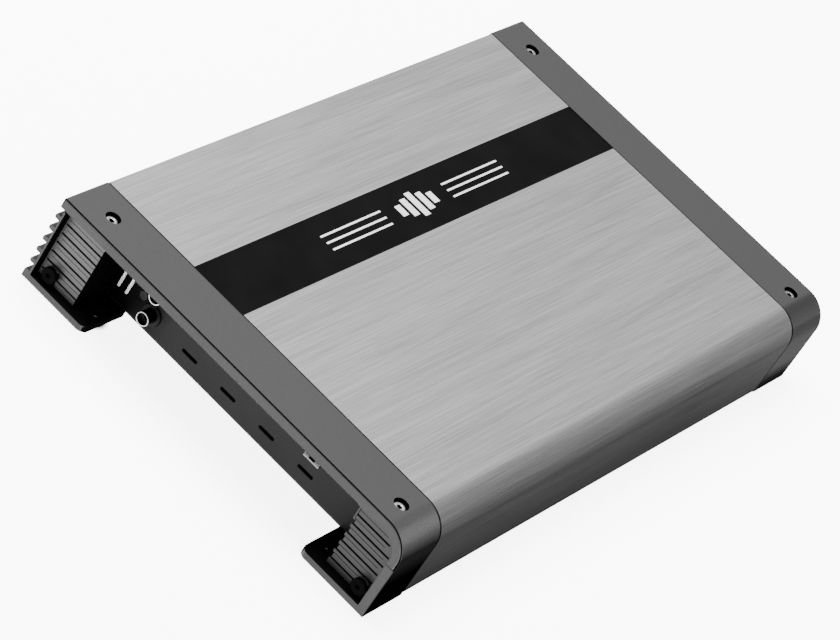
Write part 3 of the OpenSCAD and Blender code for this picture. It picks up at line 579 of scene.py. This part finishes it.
def cap_mesh(name):
    """A cap with a shadow groove between its skin and the bevelled lip of its end face."""
    outer, inner = cap_paths()
    # Along the body, then how far the outer and the inner edge move in.
    sections = [(0.0, 1.35, 0.25), (0.3, 0.95, 0.0), (2.2, 0.92, 0.0), (2.2, 0.15, 0.0),
                (0.35, 0.12, 0.0), (0.45, 0.0, 0.0), (CAP_RUN - 0.2, 0.0, 0.0),
                (CAP_RUN - 0.05, 0.05, 0.0), (CAP_RUN, 0.2, 0.2)]
    bm = bmesh.new()
    rings = []
    for x, d_out, d_in in sections:
        ring = [bm.verts.new(corner(x, y, z)) for y, z in inset(outer, d_out)]
        ring += [bm.verts.new(corner(x, y, z)) for y, z in reversed(inset(inner, -d_in))]
        rings.append(ring)
    count = len(rings[0])
    for first, second in zip(rings, rings[1:]):
        for i in range(count):
            j = (i + 1) % count
            bm.faces.new((first[i], second[i], second[j], first[j]))
    half = count // 2
    for ring in (rings[0], rings[-1]):
        for i in range(half - 1):
            bm.faces.new((ring[i], ring[i + 1], ring[count - 2 - i], ring[count - 1 - i]))
    mesh = mesh_from(bm, name)
    holes = bmesh.new()
    for y in SCREW_Y:
        lathe(holes, [(40.0, 2.2), (SCREW_SEAT, 2.2), (SCREW_SEAT, 4.25), (HEIGHT - 0.4, 4.3),
                      (HEIGHT - 0.1, 4.42), (HEIGHT + 0.2, 4.9)], (SCREW_X, y, 0.0), "Z")
    return cut(mesh, mesh_from(holes, name + "_holes"), name)


def in_cap_shadow(at, facing):
    """The groove round the cap's end face, its screw holes, and the side by the cover."""
    x, y, z = min(at.x, LENGTH - at.x), at.y, at.z
    hole = any(math.hypot(x - SCREW_X, y - sy) < 4.5 for sy in SCREW_Y)
    if hole and (abs(facing.z) < 0.7 or z < HEIGHT - 2):
        return True
    if y < OUTER_R and z > HEIGHT - OUTER_R:
        depth = OUTER_R - math.hypot(y - OUTER_R, z - HEIGHT + OUTER_R)
    else:
        depth = min(y, HEIGHT - z)
    groove = 0.33 < x < 2.3 and 0.1 < depth < 0.98
    return groove or x > CAP_RUN - 0.02


def mirrored(mesh):
    """The same mesh for the power end."""
    mesh.transform(Matrix.Diagonal((-1, 1, 1, 1)))
    mesh.flip_normals()
    return mesh


for cap_name, shape in (("end_cap_input", cap_mesh("cap_in")),
                        ("end_cap_power", mirrored(cap_mesh("cap_out")))):
    finish_piece(cap_name + "_piece", shape, [cap_name], MATS["cap_aluminium"])
    blacken(shape, in_cap_shadow)


# ---------- Cap screws and phono sockets ----------

def socket_screw(bm, x, y):
    """A socket-head screw: rounded rim, hexagonal recess, plain shank."""
    seat, top, count = SCREW_SEAT, SCREW_SEAT + HEAD_H, 48
    rings = lathe(bm, [(seat - 7.8, 1.6), (seat - 7.4, 2.0), (seat, 2.0), (seat, HEAD_R - 0.15),
                       (seat + 0.15, HEAD_R), (top - 0.35, HEAD_R), (top - 0.1, HEAD_R - 0.12),
                       (top, HEAD_R - 0.35), (top, KEY_R + 0.25)], (x, y, 0.0), "Z", count)
    lid = [f for f in bm.faces if len(f.verts) == count and rings[-1][0] in f.verts]
    bmesh.ops.delete(bm, geom=lid, context="FACES")
    hexes = []
    for z in (top - 0.12, top - 2.1):
        ring = []
        for i in range(count):
            a = 2 * math.pi * i / count
            r = KEY_R * math.cos(math.pi / 6) / math.cos((a % (math.pi / 3)) - math.pi / 6)
            ring.append(bm.verts.new(corner(x + r * math.cos(a), y + r * math.sin(a), z)))
        hexes.append(ring)
    for first, second in zip([rings[-1]] + hexes, hexes):
        for i in range(count):
            j = (i + 1) % count
            bm.faces.new((first[i], first[j], second[j], second[i]))
    bm.faces.new(hexes[-1])


def in_screw_shadow(at, facing):
    """All of a cap screw but the top of its head, and its hexagon."""
    x = min(at.x, LENGTH - at.x)
    key = any(math.hypot(x - SCREW_X, at.y - y) < KEY_R + 0.02 for y in SCREW_Y)
    return key or at.z < SCREW_SEAT + HEAD_H - 0.3


def make_cap_screws():
    bm = bmesh.new()
    for x in (SCREW_X, LENGTH - SCREW_X):
        for y in SCREW_Y:
            socket_screw(bm, x, y)
    mesh = mesh_from(bm, "cap_screws")
    finish_piece("cap_screws_piece", mesh, ["cap_screws"], MATS["cap_screw_steel"])
    blacken(mesh, in_screw_shadow)


def make_phono_shells():
    """Thin nickel tubes with a rolled rim; their material keeps only the rim bright and gives
    the rest painted shade, as in the dark recess.
    """
    low, high = ((end - lo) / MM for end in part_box("rca_shells"))
    run = high.x - low.x
    wall = [(0.35, 3.4), (0.08, 3.5), (0.0, 3.68), (0.0, 3.9), (0.1, 4.06), (0.35, 4.14),
            (1.2, 4.14), (1.35, 4.0), (1.6, 4.0), (1.75, 4.14), (7.25, 4.14), (7.35, 3.9),
            (run, 3.9), (run, 3.4), (0.35, 3.4)]
    bm = bmesh.new()
    for z in (low.z + SHELL_R, high.z - SHELL_R):
        lathe(bm, wall, (low.x, (low.y + high.y) / 2, z))
    finish_piece("rca_shells_piece", mesh_from(bm, "rca_shells"), ["rca_shells"],
                 MATS["phono_nickel_painted_shade"])


make_cap_screws()
make_phono_shells()


# ---------- Softened pieces ----------

def in_foot_shadow(at, facing):
    """The ears the foot screws hold, the walls of the mounting holes and the feet's insides."""
    end = min(at.x, LENGTH - at.x)
    outward = facing.x if at.x > LENGTH / 2 else -facing.x
    within = 1.0 < at.y < DEPTH - 1.0
    ear = 3.0 < end < 8.0 and outward > 0.5
    hole = at.z < 3.8 and end > 1.0 and within and abs(facing.z) < 0.5
    inside = facing.y * (at.y - DEPTH / 2) < 0 and abs(facing.y) > 0.7 and within
    return ear or hole or inside


def in_cover_shadow(at, facing):
    """The cover's edges in the gaps beside the caps."""
    return abs(facing.x) > 0.9 and min(at.x, LENGTH - at.x) < 36.5


# How wide each node's edges are rounded, in millimetres.
EDGE_WIDTHS = {
    "top_cover": 0.3, "heatsink": 0.16, "foot_front_input": 0.2, "foot_rear_input": 0.2,
    "foot_front_power": 0.2, "foot_rear_power": 0.2, "bottom_plate": 0.2, "input_panel": 0.15,
    "power_panel": 0.15, "foot_screws": 0.25, "rca_block": 0.2, "remote_jack": 0.12,
    "status_lights": 0.2, "gain_knob": 0.15, "lowpass_knob": 0.15, "subsonic_knob": 0.15,
    "bass_knob": 0.15, "phase_lever": 0.2, "filter_lever": 0.2, "power_block": 0.3,
    "speaker_block": 0.3, "power_clamps": 0.15, "speaker_clamps": 0.15, "fuse_holder": 0.3,
    "fuse_a": 0.25, "fuse_b": 0.25, "ground_screw": 0.12, "turn_on_screw": 0.12,
    "battery_screw": 0.12, "speaker_screw_1": 0.1, "speaker_screw_2": 0.1,
    "speaker_screw_3": 0.1, "speaker_screw_4": 0.1, "m3_screws": 0.3,
}
# The input panel's and the remote jack's materials carry painted shade, the jack's a painted
# highlight too.
OWN_MATERIALS = {"input_panel": panel_paint_and_shade(), "remote_jack": jack_painted_highlight_and_shade(),
                 "m3_screws": MATS["dull_steel"]}
SHADOWS = {"top_cover": in_cover_shadow, "foot_front_input": in_foot_shadow,
           "foot_rear_input": in_foot_shadow, "foot_front_power": in_foot_shadow,
           "foot_rear_power": in_foot_shadow}

for node_name, width in EDGE_WIDTHS.items():
    piece = softened(node_name, width * MM, material=OWN_MATERIALS.get(node_name))
    if node_name in SHADOWS:
        blacken(piece.data, SHADOWS[node_name])


# ---------- Floor and lights ----------

def mount_holes():
    """The four mounting holes' places on the floor, from the record."""
    pattern = next(m for m in record["mounts"] if m["name"] == "mounting_holes")
    x, y = pattern["pos_m"][:2]
    dx = pattern["dims"]["spacing_x_mm"] / 2 * MM
    dy = pattern["dims"]["spacing_y_mm"] / 2 * MM
    return [(x + a * dx, y + b * dy) for a in (-1, 1) for b in (-1, 1)]


def make_floor():
    """Pale, faintly glowing paper, with painted shadow (no glow) where the mounting holes look
    down on it.
    """
    mesh = bpy.data.meshes.new("floor")
    far = 6.0
    corners = [(-far, -far, 0), (far, -far, 0), (far, far, 0), (-far, far, 0)]
    mesh.from_pydata(corners, [], [(0, 1, 2, 3)])
    obj = bpy.data.objects.new("floor", mesh)
    obj.location.z = lo.z
    scene.collection.objects.link(obj)
    m = Shade("floor_paper", grey(0.88), 0.8, Specular_IOR_Level=0.1)
    cloud = m.ramp(m.noise(3.0, 2.0), "Fac", 0.3, 0.7, 0.0, 1.0)
    m.paint(m.mix(cloud, grey(0.87), grey(0.89)))
    m.set(m.bsdf, "Emission Color", (1.0, 1.0, 1.0, 1.0))
    glow_and_hole_shadows = m.ramp(m.noise(2.0, 1.0), "Fac", 0.3, 0.7, 6.0, 6.1)
    # Painted shadow on the floor under each mounting hole.
    for x, y in mount_holes():
        away = m.nodes.new("ShaderNodeVectorMath")
        away.operation = "DISTANCE"
        m.link(m.coords, "Object", away, 0)
        away.inputs[1].default_value = (x, y, 0.0)
        glow_and_hole_shadows = m.both(glow_and_hole_shadows, m.ramp(away, "Value", 6 * MM, 9 * MM, 0.0, 1.0))
    m.links.new(glow_and_hole_shadows.outputs[0], m.bsdf.inputs["Emission Strength"])
    mesh.materials.append(m.mat)


def area_light(name, at, aim, wide, tall, power):
    """A soft box aimed at a point."""
    data = bpy.data.lights.new(name, "AREA")
    data.shape = "RECTANGLE"
    data.size, data.size_y = wide, tall
    data.energy = power
    obj = bpy.data.objects.new(name, data)
    scene.collection.objects.link(obj)
    obj.location = at
    obj.rotation_mode = "QUATERNION"
    obj.rotation_quaternion = (Vector(aim) - Vector(at)).to_track_quat("-Z", "Y")


def make_lights():
    world = bpy.data.worlds.new("studio")
    world.use_nodes = True
    sky = world.node_tree.nodes["Background"]
    sky.inputs["Color"].default_value = (1, 1, 1, 1)
    sky.inputs["Strength"].default_value = 1.3
    scene.world = world
    area_light("key", (0.1, 0.6, 1.9), (0, 0, 0), 1.4, 1.4, 170)


make_floor()
make_lights()
